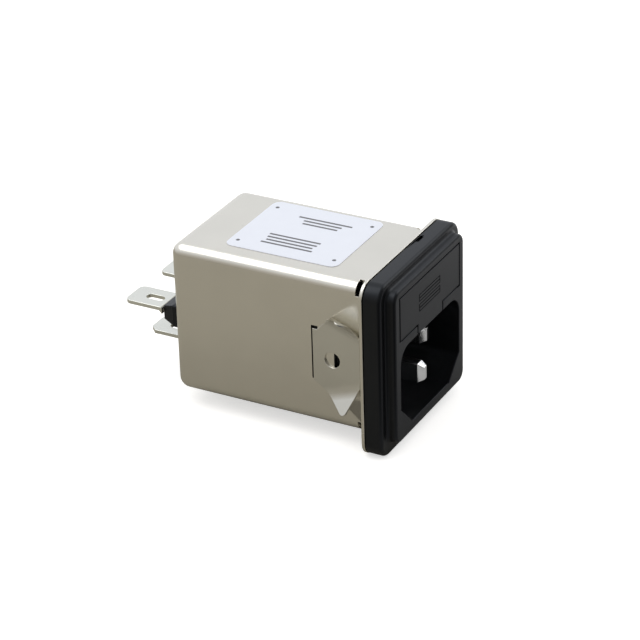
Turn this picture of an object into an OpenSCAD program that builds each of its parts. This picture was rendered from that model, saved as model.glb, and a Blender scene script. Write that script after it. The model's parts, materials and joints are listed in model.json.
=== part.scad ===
// Snap-in power entry module: an appliance inlet with a fuse drawer, built into the front of a line filter.
// The front faces -Y, the can runs back along +Y, and the origin is the middle of the rim's panel face.

/* [Inlet socket] */
// Width of the inlet opening
socket_w = 24.2; // [22:0.1:28]
// Height of the inlet opening
socket_h = 16.4; // [15:0.1:20]
// Depth of the inlet, from the front face to its floor
socket_depth = 16.4; // [14:0.1:20]
// Slanted corners at the bottom of the inlet
socket_chamfer = 4.4; // [3:0.1:5]
// Round corners at the top of the inlet
socket_r = 3.4; // [1:0.1:5]
// Thickness of the inlet's floor
floor_t = 2.7; // [1.5:0.1:4]

/* [Inlet pins] */
// Thickness of a pin
pin_w = 2; // [1.5:0.1:2.5]
// Height of a pin
pin_h = 4; // [3:0.1:5]
// Distance between the line and neutral pins
pin_pitch = 14; // [12:0.1:15]
// Distance from the line and neutral pins down to the earth pin
earth_drop = 4; // [4:0.1:5]
// How far the pins' middle lies under the inlet's middle
pin_drop = 0.45; // [0:0.05:1]
// How far the earth pin's tip lies behind the front face
earth_tip = 1.1; // [0.5:0.1:4]
// How far the line and neutral pins' tips lie behind the front face
line_tip = 4; // [2:0.1:6]
// Length of the bevel on a pin's tip
pin_bevel = 1.25; // [0.5:0.05:2]
// Length of a pin's solder tail behind the housing
tail_len = 3.4; // [2.8:0.1:4]

/* [Fuse drawer] */
// Height of the drawer's front
drawer_h = 8.35; // [8.2:0.05:12]
// Thickness of the drawer's front
drawer_t = 2.2; // [1.5:0.1:3]
// Gap around the drawer's front
drawer_gap = 0.25; // [0.15:0.05:0.4]
// Width of the grip tab under the drawer's front
grip_w = 10; // [6:0.5:14]
// Thickness of the grip tab
grip_t = 1.8; // [1:0.1:2.5]
// Running clearance between the tray and its bay
tray_clear = 0.12; // [0.08:0.01:0.2]
// Thickness of the tray's floor
tray_floor = 0.8; // [0.6:0.1:1.2]
// Thickness of the tray's ribs and back wall
tray_rib = 1; // [0.6:0.1:1.5]

/* [Fuses] */
// Length of a fuse
fuse_len = 20; // [19:0.1:20.4]
// Diameter of a fuse's end caps
fuse_d = 5.2; // [5:0.1:5.4]
// Length of an end cap
cap_len = 5; // [4:0.1:6]
// Wall of an end cap
cap_t = 0.2; // [0.1:0.05:0.3]
// Wall of the glass tube
glass_t = 0.5; // [0.4:0.05:0.8]
// Distance between the two fuses
fuse_pitch = 6.4; // [6:0.1:8]
// Diameter of the fuse wire
fuse_wire_d = 0.4; // [0.2:0.05:0.6]

/* [Fuse contacts] */
// Thickness of a contact strip
contact_t = 0.4; // [0.3:0.05:0.6]
// Height of a contact strip
contact_h = 2.2; // [1.5:0.1:2.3]
// Gap between a contact and the fuse's end
contact_gap = 0.15; // [0.1:0.05:0.3]

/* [Housing] */
// Side walls of the housing
housing_wall = 0.6; // [0.5:0.1:1.2]
// Wall under the inlet
housing_foot = 0.9; // [0.6:0.1:2]
// Wall over the drawer
housing_head = 0.8; // [0.6:0.1:2]
// Wall between the inlet and the drawer
web_t = 1.75; // [1.2:0.05:3]
// Ledge that the drawer's front stops against
bay_step = 0.75; // [0.5:0.05:1]
// Clearance between the housing and the can
housing_fit = 0.15; // [0.05:0.05:0.3]

/* [Bezel] */
// Thickness of the bezel's base
bezel_t = 3.5; // [2.5:0.1:5]
// How far the bezel stays inside the rim's outline
bezel_inset = 0.1; // [0:0.05:0.5]
// Round on the bezel's front edge
bezel_edge = 0.5; // [0.3:0.1:1.4]
// Height of the raised field on the bezel
field_t = 1.9; // [1.2:0.1:3]
// Raised field beside the inlet
field_side = 2.1; // [1:0.1:2.2]
// Raised field over the drawer
field_head = 1.45; // [0.8:0.05:2]
// Raised field under the inlet
field_foot = 2.15; // [1:0.05:3]
// Corner radius of the raised field
field_r = 2; // [1:0.1:3]
// Round on the raised field's edge
field_edge = 0.6; // [0.3:0.1:1]
// Hollow round at the foot of the raised field
cove_r = 0.9; // [0.3:0.1:1]
// Width of the small moulded notch in the bezel's top
nick_w = 2.1; // [1:0.1:4]

/* [Can] */
// Length of the can behind the panel
can_len = 40.5; // [38:0.5:60]
// Sheet thickness
sheet_t = 0.6; // [0.4:0.05:1]
// Radius of the can's edges
can_r = 2.3; // [1.5:0.1:3]
// Rim beside the can
rim_side = 2.95; // [2:0.05:4]
// Rim over the can
rim_head = 1.45; // [1.4:0.05:4]
// Rim under the can
rim_foot = 3.15; // [1.4:0.05:4]
// Corner radius of the rim
rim_r = 3.2; // [1.5:0.1:4]
// Bend between the can and its rim
rim_bend = 1; // [0.9:0.05:1.1]
// Length of the relief at the can's corners, from the panel face
relief_len = 2.2; // [1.4:0.05:2.5]

/* [Snap springs] */
// Sheet thickness of a spring
spring_t = 0.4; // [0.3:0.05:0.5]
// Distance from the panel face to a spring's back edge
spring_back = 10.8; // [9:0.1:14]
// Height of the back edge
spring_back_h = 10.4; // [8:0.1:12]
// Distance from the panel face to a spring's front edge
spring_front = 1.35; // [1.3:0.05:2]
// Height of the front edge
spring_front_h = 9.8; // [8:0.1:11]
// Distance from the panel face to the shoulder where a wing starts
wing_back = 8; // [6.5:0.1:8.6]
// Height over both shoulders
wing_back_h = 14.4; // [13:0.1:16]
// Length of a wing from its fold to its tip
wing_len = 4.7; // [4:0.1:5.5]
// How far a wing is bent out, in degrees
wing_bend = 46; // [30:1:55]
// Diameter of the hole in a spring
spring_hole = 3.1; // [2:0.1:4]
// How far the springs' middle lies under the can's middle
spring_drop = 0.55; // [0:0.05:1]

/* [Blade terminals] */
// Width of a blade
blade_w = 6.3; // [4.8:0.1:6.4]
// Thickness of a blade
blade_t = 0.8; // [0.5:0.1:1]
// How far the line and neutral blades stand out
blade_len = 12.9; // [11:0.1:16]
// How far the earth blade stands out
earth_blade_len = 12; // [10:0.1:16]
// Distance between the line and neutral blades
blade_pitch = 12.7; // [12:0.1:14]
// How far the line and neutral blades leave the can under its middle
blade_drop = 2.15; // [1:0.05:2.5]
// Step up in the line and neutral blades behind their bushings
blade_step = 0.85; // [0.5:0.05:1.2]
// Distance from where the line and neutral blades leave the can down to the earth blade
earth_blade_drop = 8.3; // [8:0.1:9]
// Length of the slot in a blade
blade_slot_len = 3.8; // [2.5:0.1:4.4]
// Width of the slot in a blade
blade_slot_w = 1.8; // [1.2:0.1:2.4]
// Distance from a blade's tip to the middle of its slot
blade_slot_at = 5; // [3.6:0.1:5]
// Round on the tip corners of the line and neutral blades
blade_tip_r = 1.3; // [0.5:0.1:2]
// Slanted tip corners of the earth blade
earth_tip_cut = 1.3; // [0.5:0.1:2]

/* [Bushings] */
// Width of a bushing's base
bush_w = 6.8; // [6.4:0.1:9]
// Height of a bushing's base
bush_h = 4.6; // [4.4:0.1:6]
// Thickness of a bushing's base
bush_base = 2.4; // [1:0.1:3]
// Length of a bushing's nose
bush_nose = 2.3; // [1.5:0.1:3]
// How much the nose narrows on each side
bush_taper = 0.68; // [0.2:0.02:0.7]

/* [Earth rivet] */
// Diameter of the rivet
rivet_d = 2.4; // [1.6:0.1:3]
// Diameter of the rivet's heads
rivet_head_d = 4.2; // [3.4:0.1:5]

/* [Label] */
// Width of the label, across the can
label_w = 20; // [12:0.5:21]
// Length of the label, along the can
label_len = 23; // [15:0.5:28]
// Thickness of the label
label_t = 0.1; // [0.05:0.01:0.2]
// Corner radius of the label
label_r = 1.6; // [0.5:0.1:3]
// Distance from the panel face to the label
label_front = 8.2; // [3:0.1:9]
// How far the label sits off the can's middle
label_shift = 0.8; // [0:0.1:1]

/* [Filter] */
// Thickness of the filter board
board_t = 1.6; // [1:0.1:2]
// Width of the filter board
board_w = 22.6; // [22:0.1:23.4]
// Outer diameter of the choke's core
core_d = 14; // [13:0.1:14.4]
// Inner diameter of the choke's core
core_bore = 8; // [7.6:0.1:9]
// Height of the choke's core
core_h = 6; // [4:0.1:8]
// Diameter of the winding wire
coil_wire = 0.9; // [0.5:0.05:0.95]
// Turns in each winding
coil_turns = 7; // [4:1:7]
// Width of the capacitor between line and neutral
x_cap_w = 17; // [12:0.5:18]
// Height of the capacitor between line and neutral
x_cap_h = 9; // [7:0.1:9.4]
// Thickness of the capacitor between line and neutral
x_cap_t = 7.5; // [5:0.1:8.5]
// Diameter of the capacitors to earth
y_cap_d = 8; // [6:0.1:8.6]
// Thickness of the capacitors to earth
y_cap_t = 4; // [2.5:0.1:4.5]
// Diameter of the hook-up wires
wire_d = 0.9; // [0.6:0.05:1.1]

/* [Hidden] */
$fn = 48;

// Fits and small allowances that several pieces share
seat_fit = 0.05;
cut_over = 1;

// The can's outline follows from what it holds
housing_w = socket_w + 2 * housing_wall;
housing_h = housing_foot + socket_h + web_t + drawer_h + 2 * drawer_gap + housing_head;
can_w = housing_w + 2 * (housing_fit + sheet_t);
can_h = housing_h + 2 * (housing_fit + sheet_t);
can_inner_w = can_w - 2 * sheet_t;
can_inner_h = can_h - 2 * sheet_t;
can_inner_r = can_r - sheet_t;
housing_r = can_inner_r - housing_fit;
rim_w = can_w + 2 * rim_side;
rim_h = can_h + rim_head + rim_foot;

// Heights, with the rim's middle at zero
can_low = rim_foot - rim_h / 2;
can_mid = can_low + can_h / 2;
can_top = can_low + can_h;
can_floor = can_low + sheet_t;
housing_low = can_floor + housing_fit;
socket_low = housing_low + housing_foot;
socket_mid = socket_low + socket_h / 2;
socket_top = socket_low + socket_h;
pocket_low = socket_top + web_t;
pocket_h = drawer_h + 2 * drawer_gap;
drawer_low = pocket_low + drawer_gap;
bay_low = pocket_low + bay_step;
bay_h = pocket_h - 2 * bay_step;
line_pin_mid = socket_mid - pin_drop + earth_drop / 2;
earth_pin_mid = socket_mid - pin_drop - earth_drop / 2;

// Depths, counted towards the front from the panel face
front = sheet_t + bezel_t + field_t;
socket_floor = front - socket_depth;
fuse_side_gap = 0.4;
drawer_back = front - drawer_t;
front_fuse_at = drawer_back - tray_rib - fuse_side_gap - fuse_d / 2;
rear_fuse_at = front_fuse_at - fuse_pitch;
tray_back = rear_fuse_at - fuse_d / 2 - fuse_side_gap - tray_rib;
bay_back = tray_back - fuse_side_gap;
socket_back = socket_floor - floor_t;
bay_wall = bay_back - floor_t;
housing_back = min(socket_back, bay_wall);
can_back = -can_len;
can_inner_back = can_back + sheet_t;

// Fuse drawer and fuse contacts
tray_w = socket_w - 2 * tray_clear;
tray_low = bay_low + tray_clear;
fuse_mid = tray_low + tray_floor + fuse_side_gap + fuse_d / 2;
glass_d = fuse_d - 2 * (cap_t + seat_fit / 2);
cradle_at = fuse_len / 2 - cap_len - tray_rib - fuse_side_gap;
tray_back_w = fuse_len - 4 * contact_gap;
contact_out = socket_w / 2 - seat_fit;
contact_in = contact_out - contact_t;
contact_tip = fuse_len / 2 + contact_gap;
contact_split = 2 * contact_gap;
contact_bow = 2.6;
contact_flat = 0.8;
contact_tail = housing_back - tail_len;

// Board, chosen so that the line and neutral blades lie on it
blade_root = can_mid - blade_drop;
earth_blade_mid = blade_root - earth_blade_drop;
board_top = blade_root - blade_t / 2;
board_low = board_top - board_t;
rail_w = 2;
rail_wall = 1.3;
rail_grip = 2.4;
rail_lap = 1.1;
rail_in = board_w / 2 - rail_lap;
board_room = 1.2;
board_front = housing_back - tail_len - board_room;
bush_collar_t = 1;
bush_len = bush_base + bush_nose;
bush_step = 0.2;
bush_neck_w = bush_w - 4 * bush_step;
bush_neck_h = bush_h - 4 * bush_step;
board_back = can_inner_back + bush_collar_t + 4 * seat_fit;
blade_shoulder = 1.3;
blade_neck_w = blade_w - 2 * blade_shoulder;
blade_tail = 4.7;
blade_hide = 0.3;

// Choke on its base, in the middle of the free length of the board
coil_gap = 0.15;
coil_ring = (core_d + core_bore) / 4;
coil_half_r = (core_d - core_bore) / 4 + coil_gap + coil_wire / 2;
coil_half_h = core_h / 2 + coil_gap + coil_wire / 2;
choke_base_t = 1;
choke_base_lap = 1.5;
choke_base_d = core_d + 2 * choke_base_lap;
choke_at = board_front - board_room - choke_base_d / 2;
choke_mid = board_top + choke_base_t + coil_half_h + coil_wire / 2 + seat_fit;

// Relief, springs and their slots
relief_lap = 0.15;
relief_front = rim_bend - relief_lap;
spring_mid = can_mid - spring_drop;
spring_slot = 0.45;
spring_lip = sheet_t - seat_fit;
hook_trim = 0.3;
hook_h = spring_back_h - 2 * hook_trim;
lip_trim = 0.8;
lip_h = spring_front_h - 2 * lip_trim;
spring_hole_at = 6.9;
window_short = 0.2;
window_back = spring_hole_at - window_short;
fold_run = wing_back - spring_front;
fold_rise = (spring_front_h - wing_back_h) / 2;
fold_len = norm([fold_run, fold_rise]);
fold_turn = atan2(fold_rise, fold_run);
wing_tip_r = 0.8;
wing_tip_share = 0.44;
wing_arc = 6;
wing_arc_from = 155;
wing_arc_sweep = 120;

// Earth blade's foot and rivet
foot_up = 5.4;
rivet_edge = 0.2;
rivet_mid = earth_blade_mid + foot_up - rivet_head_d / 2 - rivet_edge;
rivet_head_t = 0.9;

// Other small sizes
earth_strap_t = 0.5;
earth_strap_w = 4;
earth_strap_foot = 5;
pin_tip_w = pin_w / 2;
pin_tip_share = 0.64;
pin_tip_h = pin_h * pin_tip_share;
pin_tail_w = 1;
pin_tail_h = 2;
lead_d = 0.6;
x_cap_at = 1.2;
y_cap_at = 6.2;
resistor_d = 2.4;
resistor_len = 7;
resistor_back = 2.8;
resistor_span = 11;
nick_t = 0.5;
nick_at = 5.2;

// Colours of the finishes
nickel = "#b8b2a3";
black = "#26262a";
tin = "#cfcfca";
brass = "#c9a95c";
copper = "#b0602e";

// Stands the front view up: drawn with x right, y up and z towards the viewer
module upright() {
    rotate([90, 0, 0]) children();
}

module rounded_rect(w, h, r) {
    square([w - 2 * r, h], center = true);
    square([w, h - 2 * r], center = true);
    for (sx = [-1, 1], sy = [-1, 1])
        translate([sx * (w / 2 - r), sy * (h / 2 - r)]) circle(r);
}

// Turn of a quarter ring in the corner given by two signs
function corner_turn(sx, sy) = atan2(sy, sx) - 45;

// Carries a profile round a rounded rectangle. The profile's x counts outwards from the corners' axes.
module carried(w, h, r) {
    for (turn = [0, 180]) {
        rotate(turn) translate([w / 2 - r, 0, 0])
            rotate([90, 0, 0]) linear_extrude(h - 2 * r, center = true) children();
        rotate(turn + 90) translate([h / 2 - r, 0, 0])
            rotate([90, 0, 0]) linear_extrude(w - 2 * r, center = true) children();
    }
    for (sx = [-1, 1], sy = [-1, 1])
        translate([sx * (w / 2 - r), sy * (h / 2 - r), 0])
            rotate(corner_turn(sx, sy)) rotate_extrude(angle = 90) children();
}

// Slab with a rounded outline and a round on its front edge
module soft_slab(w, h, r, t, edge) {
    linear_extrude(t) square([w - 2 * r, h - 2 * r], center = true);
    carried(w, h, r) {
        square([r, t - edge]);
        square([r - edge, t]);
        translate([r - edge, t - edge]) intersection() {
            circle(edge);
            square(edge);
        }
    }
}

// Closed round-edged box from z = 0 back to its rear wall
module drawn_box(w, h, r, len) {
    translate([0, 0, -len]) linear_extrude(len) square([w - 2 * r, h - 2 * r], center = true);
    carried(w, h, r) {
        translate([0, r - len]) square([r, len - r]);
        intersection() {
            translate([0, r - len]) circle(r);
            translate([0, -len]) square([r, r]);
        }
    }
}

// Hollow round between a wall at x = r and a face at y = 0, filling the side given by down
module cove(r, size, down) {
    side = down ? -1 : 1;
    difference() {
        translate([r - size / 2, down ? -size : -size / 2]) square(size * 3 / 2);
        translate([r + size, side * size]) circle(size);
        translate([r - size, side * size + (down ? -size : 0)]) square(3 * size);
        translate([r + size, down ? -2 * size : -size]) square(4 * size);
    }
}

module inlet_outline() {
    low = -socket_h / 2;
    side = socket_w / 2;
    polygon([
        [-side, socket_h / 2 - socket_r], [-side, low + socket_chamfer], [-side + socket_chamfer, low],
        [side - socket_chamfer, low], [side, low + socket_chamfer], [side, socket_h / 2 - socket_r],
        [side - socket_r, socket_h / 2], [-side + socket_r, socket_h / 2]
    ]);
    for (sx = [-1, 1])
        translate([sx * (side - socket_r), socket_h / 2 - socket_r]) circle(socket_r);
}

// Wire along a list of points, with round elbows
module wire(points, d) {
    for (k = [0 : len(points) - 2]) {
        run = points[k + 1] - points[k];
        translate(points[k])
            rotate([0, acos(run[2] / norm(run)), atan2(run[1], run[0])])
                cylinder(d = d, h = norm(run));
    }
    for (k = [1 : 1 : len(points) - 2])
        translate(points[k]) sphere(d = d);
}

// Left wall of the can as a drawing plane: x counts to the front, y up and z out of the wall
module on_left_wall() {
    translate([-can_w / 2, spring_mid, 0]) rotate([0, -90, 0]) children();
}

module on_both_walls() {
    on_left_wall() children();
    mirror([1, 0, 0]) on_left_wall() children();
}

module spring_slots() {
    depth = sheet_t + 2 * cut_over;
    translate([-spring_back - spring_slot, -spring_back_h / 2, -depth / 2])
        cube([spring_t + spring_slot + seat_fit, spring_back_h, depth]);
    translate([-spring_back - spring_slot, spring_back_h / 2 - seat_fit, -depth / 2])
        cube([spring_t + 2 * spring_slot, spring_slot, depth]);
    translate([-window_back, -lip_h / 2 - seat_fit, -depth / 2])
        cube([window_back - spring_front + seat_fit, lip_h + 2 * seat_fit, depth]);
}

// Ring-shaped cuts through the round corners just behind the rim
module corner_reliefs() {
    from = can_r - sheet_t - cut_over / 2;
    for (sx = [-1, 1], sy = [-1, 1])
        translate([sx * (can_w / 2 - can_r), sy * (can_h / 2 - can_r), 0])
            rotate(corner_turn(sx, sy)) rotate_extrude(angle = 90)
                translate([from, -relief_len])
                    square([sheet_t + cut_over, relief_len - relief_front]);
}

module filter_can() {
    color(nickel) upright() difference() {
        union() {
            translate([0, can_mid, 0]) drawn_box(can_w, can_h, can_r, can_len);
            translate([0, can_mid, 0]) carried(can_w, can_h, can_r) cove(can_r, rim_bend, true);
            linear_extrude(sheet_t) rounded_rect(rim_w, rim_h, rim_r);
        }
        translate([0, can_mid, sheet_t + cut_over])
            drawn_box(can_inner_w, can_inner_h, can_inner_r, can_len + cut_over);
        translate([0, can_mid, 0]) corner_reliefs();
        on_both_walls() spring_slots();
        translate([0, 0, can_back - cut_over]) linear_extrude(sheet_t + 2 * cut_over) {
            for (sx = [-1, 1])
                translate([sx * blade_pitch / 2, blade_root])
                    rounded_rect(bush_neck_w + 2 * seat_fit, bush_neck_h + 2 * seat_fit, bush_step);
            translate([0, earth_blade_mid])
                square([blade_w + 2 * seat_fit, blade_t + 2 * seat_fit], center = true);
        }
        translate([0, rivet_mid, can_back - cut_over])
            cylinder(d = rivet_d + 2 * seat_fit, h = sheet_t + 2 * cut_over);
    }
}

module board_rails() {
    for (sx = [-1, 1]) {
        side = sx > 0 ? rail_in : -rail_in - rail_w;
        translate([side, board_low - rail_wall, board_front - rail_grip])
            difference() {
                cube([rail_w, board_t + 2 * rail_wall, socket_back - board_front + rail_grip]);
                translate([-cut_over, rail_wall - seat_fit, -cut_over])
                    cube([rail_w + 2 * cut_over, board_t + 2 * seat_fit, rail_grip + cut_over + seat_fit]);
            }
    }
}

module pin_holes() {
    for (at = [[pin_pitch / 2, line_pin_mid], [-pin_pitch / 2, line_pin_mid], [0, earth_pin_mid]])
        translate([at[0], at[1]]) square([pin_w + 2 * seat_fit, pin_h + 2 * seat_fit], center = true);
}

// Slots in the bay's back wall that the contacts pass through
module contact_holes() {
    hole = [contact_t + 2 * seat_fit, contact_h + 2 * seat_fit];
    for (sx = [-1, 1], sy = [-1, 1])
        translate([sx * (contact_in + contact_t / 2), fuse_mid + sy * (contact_split + contact_h) / 2])
            square(hole, center = true);
}

module inlet_housing() {
    field_w = socket_w + 2 * field_side;
    field_low = socket_low - field_foot;
    field_h = pocket_low + pocket_h + field_head - field_low;
    field_at = [0, field_low + field_h / 2, sheet_t + bezel_t];
    bezel_w = rim_w - 2 * bezel_inset;
    bezel_h = rim_h - 2 * bezel_inset;
    barrel_front = front - field_t - bezel_t / 2;
    step = socket_top + web_t / 2 - can_mid;
    color(black) upright() difference() {
        union() {
            translate([0, 0, sheet_t])
                soft_slab(bezel_w, bezel_h, rim_r - bezel_inset, bezel_t, bezel_edge);
            translate(field_at) soft_slab(field_w, field_h, field_r, field_t, field_edge);
            translate(field_at) carried(field_w, field_h, field_r) cove(field_r, cove_r, false);
            translate([0, can_mid, socket_back])
                linear_extrude(barrel_front - socket_back) difference() {
                    rounded_rect(housing_w, housing_h, housing_r);
                    translate([-housing_w, step]) square(2 * housing_w);
                }
            translate([0, can_mid, bay_wall])
                linear_extrude(barrel_front - bay_wall) intersection() {
                    rounded_rect(housing_w, housing_h, housing_r);
                    translate([-housing_w, step - seat_fit]) square(2 * housing_w);
                }
            board_rails();
        }
        translate([0, socket_mid, socket_floor]) linear_extrude(socket_depth + cut_over) inlet_outline();
        translate([-socket_w / 2 - drawer_gap, pocket_low, drawer_back - tray_clear])
            cube([socket_w + 2 * drawer_gap, pocket_h, drawer_t + tray_clear + cut_over]);
        translate([-socket_w / 2, bay_low, bay_back]) cube([socket_w, bay_h, front - bay_back]);
        translate([-grip_w / 2 - drawer_gap, socket_top - socket_r / 2, front - grip_t - drawer_gap])
            cube([
                grip_w + 2 * drawer_gap, web_t + socket_r / 2 + drawer_gap, grip_t + drawer_gap + cut_over
            ]);
        translate([0, 0, housing_back - cut_over]) {
            linear_extrude(socket_floor - housing_back + 2 * cut_over) pin_holes();
            linear_extrude(bay_back - housing_back + 2 * cut_over) contact_holes();
        }
        translate([nick_at, rim_h / 2, sheet_t + nick_t * 3 / 2])
            cube([nick_w, nick_t * 2, nick_t], center = true);
    }
}

module fuse_drawer() {
    color(black) upright() difference() {
        union() {
            translate([-socket_w / 2, drawer_low, drawer_back]) cube([socket_w, drawer_h, drawer_t]);
            translate([-grip_w / 2, socket_top + seat_fit, front - grip_t])
                cube([grip_w, drawer_low - socket_top, grip_t]);
            translate([-tray_w / 2, tray_low, tray_back])
                cube([tray_w, tray_floor, drawer_back - tray_back + seat_fit]);
            translate([-tray_back_w / 2, tray_low, tray_back])
                cube([tray_back_w, fuse_mid - tray_low, tray_rib]);
            for (sx = [-1, 1])
                translate([sx * cradle_at - tray_rib / 2, tray_low, tray_back])
                    cube([tray_rib, fuse_mid - tray_low, drawer_back - tray_back + seat_fit]);
        }
        for (at = [front_fuse_at, rear_fuse_at])
            translate([0, fuse_mid, at]) rotate([0, 90, 0])
                cylinder(d = glass_d + 2 * seat_fit, h = 2 * cradle_at + 2 * tray_rib, center = true);
    }
}

// Lays a fuse across the drawer, with its own axis along z
module at_fuse(at) {
    upright() translate([0, fuse_mid, at]) rotate([0, 90, 0]) children();
}

module fuse_tube(at) {
    color("#dfe6e6") at_fuse(at) difference() {
        cylinder(d = glass_d, h = fuse_len - 2 * (cap_t + seat_fit), center = true);
        cylinder(d = glass_d - 2 * glass_t, h = fuse_len, center = true);
    }
}

module fuse_cap(at, side) {
    color(tin) at_fuse(at) rotate([side > 0 ? 0 : 180, 0, 0]) translate([0, 0, fuse_len / 2 - cap_len])
        difference() {
            cylinder(d = fuse_d, h = cap_len);
            translate([0, 0, -cut_over]) cylinder(d = fuse_d - 2 * cap_t, h = cap_len - cap_t + cut_over);
        }
}

module fuse_wire(at) {
    color(tin) at_fuse(at)
        cylinder(d = fuse_wire_d, h = fuse_len - 2 * (cap_t + seat_fit), center = true);
}

// Blade with a bevelled tip from the inlet's floor, and a thinner solder tail behind the housing
module inlet_pin(x, y, tip) {
    long = tip - socket_back;
    color(tin) upright() translate([x, y, socket_back]) {
        intersection() {
            rotate([90, 0, 0]) linear_extrude(pin_h, center = true)
                polygon([
                    [-pin_w / 2, 0], [pin_w / 2, 0], [pin_w / 2, long - pin_bevel],
                    [pin_tip_w / 2, long], [-pin_tip_w / 2, long], [-pin_w / 2, long - pin_bevel]
                ]);
            rotate([90, 0, 90]) linear_extrude(pin_w, center = true)
                polygon([
                    [-pin_h / 2, 0], [pin_h / 2, 0], [pin_h / 2, long - pin_bevel],
                    [pin_tip_h / 2, long], [-pin_tip_h / 2, long], [-pin_h / 2, long - pin_bevel]
                ]);
        }
        translate([0, 0, -tail_len / 2]) cube([pin_tail_w, pin_tail_h, tail_len], center = true);
    }
}

module earth_pin() {
    inlet_pin(0, earth_pin_mid, front - earth_tip);
}

// Springy strip on the bay's side wall, bowed out to the fuse's end
module fuse_contact(side, at, row) {
    path = [
        [contact_in, at + contact_bow], [contact_tip, at + contact_flat], [contact_tip, at - contact_flat],
        [contact_in, at - contact_bow], [contact_in, contact_tail]
    ];
    far = [for (k = [len(path) - 1 : -1 : 0]) path[k] + [contact_t, 0]];
    color(brass) upright() mirror([side > 0 ? 0 : 1, 0, 0])
        translate([0, fuse_mid + row * (contact_split + contact_h) / 2 + contact_h / 2, 0])
            rotate([90, 0, 0]) linear_extrude(contact_h) polygon(concat(path, far));
}

// Triangular wing with a rounded tip, drawn on its fold line
module wing_outline() {
    tip = [fold_len * wing_tip_share, wing_len - wing_tip_r];
    arc = [
        for (k = [0 : wing_arc]) let (to = wing_arc_from - k * wing_arc_sweep / wing_arc)
            tip + wing_tip_r * [cos(to), sin(to)]
    ];
    polygon(concat([[fold_len, 0], [0, 0]], arc));
}

module snap_spring() {
    back = spring_back_h / 2;
    front_half = spring_front_h / 2;
    shoulder = wing_back_h / 2;
    linear_extrude(spring_t) difference() {
        polygon([
            [-spring_back, -back], [-spring_back, back], [-spring_back + 2 * spring_slot, back],
            [-wing_back, shoulder], [-spring_front, front_half], [-spring_front, -front_half],
            [-wing_back, -shoulder]
        ]);
        translate([-spring_hole_at, -spring_slot]) circle(d = spring_hole);
    }
    translate([-spring_back, -hook_h / 2, -spring_lip])
        cube([spring_t, hook_h, spring_lip + spring_t / 2]);
    translate([-spring_front - spring_t, -lip_h / 2, -spring_lip])
        cube([spring_t, lip_h, spring_lip + spring_t / 2]);
    for (flip = [0, 1])
        mirror([0, flip, 0]) translate([-wing_back, shoulder, spring_t / 2]) rotate(fold_turn) {
            rotate([wing_bend, 0, 0]) linear_extrude(spring_t, center = true) wing_outline();
            rotate([0, 90, 0]) cylinder(d = spring_t, h = fold_len);
        }
}

module left_snap_spring() {
    color(nickel) upright() on_left_wall() snap_spring();
}

module right_snap_spring() {
    color(nickel) upright() mirror([1, 0, 0]) on_left_wall() snap_spring();
}

// Plan of a line or neutral blade from its tip at y = 0 towards its root, with round corners and a long slot
module blade_plan(long) {
    difference() {
        union() {
            translate([-blade_w / 2, blade_tip_r]) square([blade_w, long - blade_tip_r]);
            translate([blade_tip_r - blade_w / 2, 0]) square([blade_w - 2 * blade_tip_r, 2 * blade_tip_r]);
            for (sx = [-1, 1])
                translate([sx * (blade_w / 2 - blade_tip_r), blade_tip_r]) circle(blade_tip_r);
        }
        translate([0, blade_slot_at]) long_hole();
    }
}

// Plan of the earth blade, which has slanted corners at its tip
module earth_blade_plan(long) {
    half = blade_w / 2;
    difference() {
        polygon([
            [earth_tip_cut - half, 0], [half - earth_tip_cut, 0], [half, earth_tip_cut],
            [half, long], [-half, long], [-half, earth_tip_cut]
        ]);
        translate([0, blade_slot_at]) long_hole();
    }
}

module long_hole() {
    reach = (blade_slot_len - blade_slot_w) / 2;
    square([blade_slot_w, 2 * reach], center = true);
    for (sy = [-1, 1])
        translate([0, sy * reach]) circle(d = blade_slot_w);
}

// Side view of a line or neutral blade: flat, then a step down into its bushing's nose, then the root
module blade_side(thick) {
    long = blade_len + sheet_t + blade_tail;
    mitre = thick / 2 * tan(45 / 2);
    bend_in = blade_len - bush_len + blade_hide;
    bend_out = bend_in - blade_step;
    up = blade_step + thick / 2;
    polygon([
        [0, up], [bend_out + mitre, up], [bend_in + mitre, thick / 2], [long, thick / 2],
        [long, -thick / 2], [bend_in - mitre, -thick / 2],
        [bend_out - mitre, up - thick], [0, up - thick]
    ]);
}

module power_tab(x) {
    wide = blade_len - bush_len - seat_fit;
    long = blade_len + sheet_t + blade_tail;
    color(tin) upright() translate([x, blade_root, can_back - blade_len]) intersection() {
        rotate([90, 0, 0]) linear_extrude(4 * blade_step + 2 * blade_t, center = true) {
            blade_plan(wide);
            translate([-blade_neck_w / 2, wide - seat_fit]) square([blade_neck_w, long - wide + seat_fit]);
        }
        rotate([0, -90, 0]) linear_extrude(2 * blade_w, center = true) blade_side(blade_t);
    }
}

module earth_tab() {
    color(tin) upright() {
        translate([0, earth_blade_mid, can_back - earth_blade_len]) rotate([90, 0, 0])
            linear_extrude(blade_t, center = true) earth_blade_plan(earth_blade_len + sheet_t + blade_t);
        translate([-blade_w / 2, earth_blade_mid - blade_t / 2, can_inner_back]) difference() {
            cube([blade_w, foot_up + blade_t / 2, blade_t]);
            translate([blade_w / 2, rivet_mid - earth_blade_mid + blade_t / 2, -cut_over])
                cylinder(d = rivet_d + 2 * seat_fit, h = blade_t + 2 * cut_over);
        }
    }
}

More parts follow.
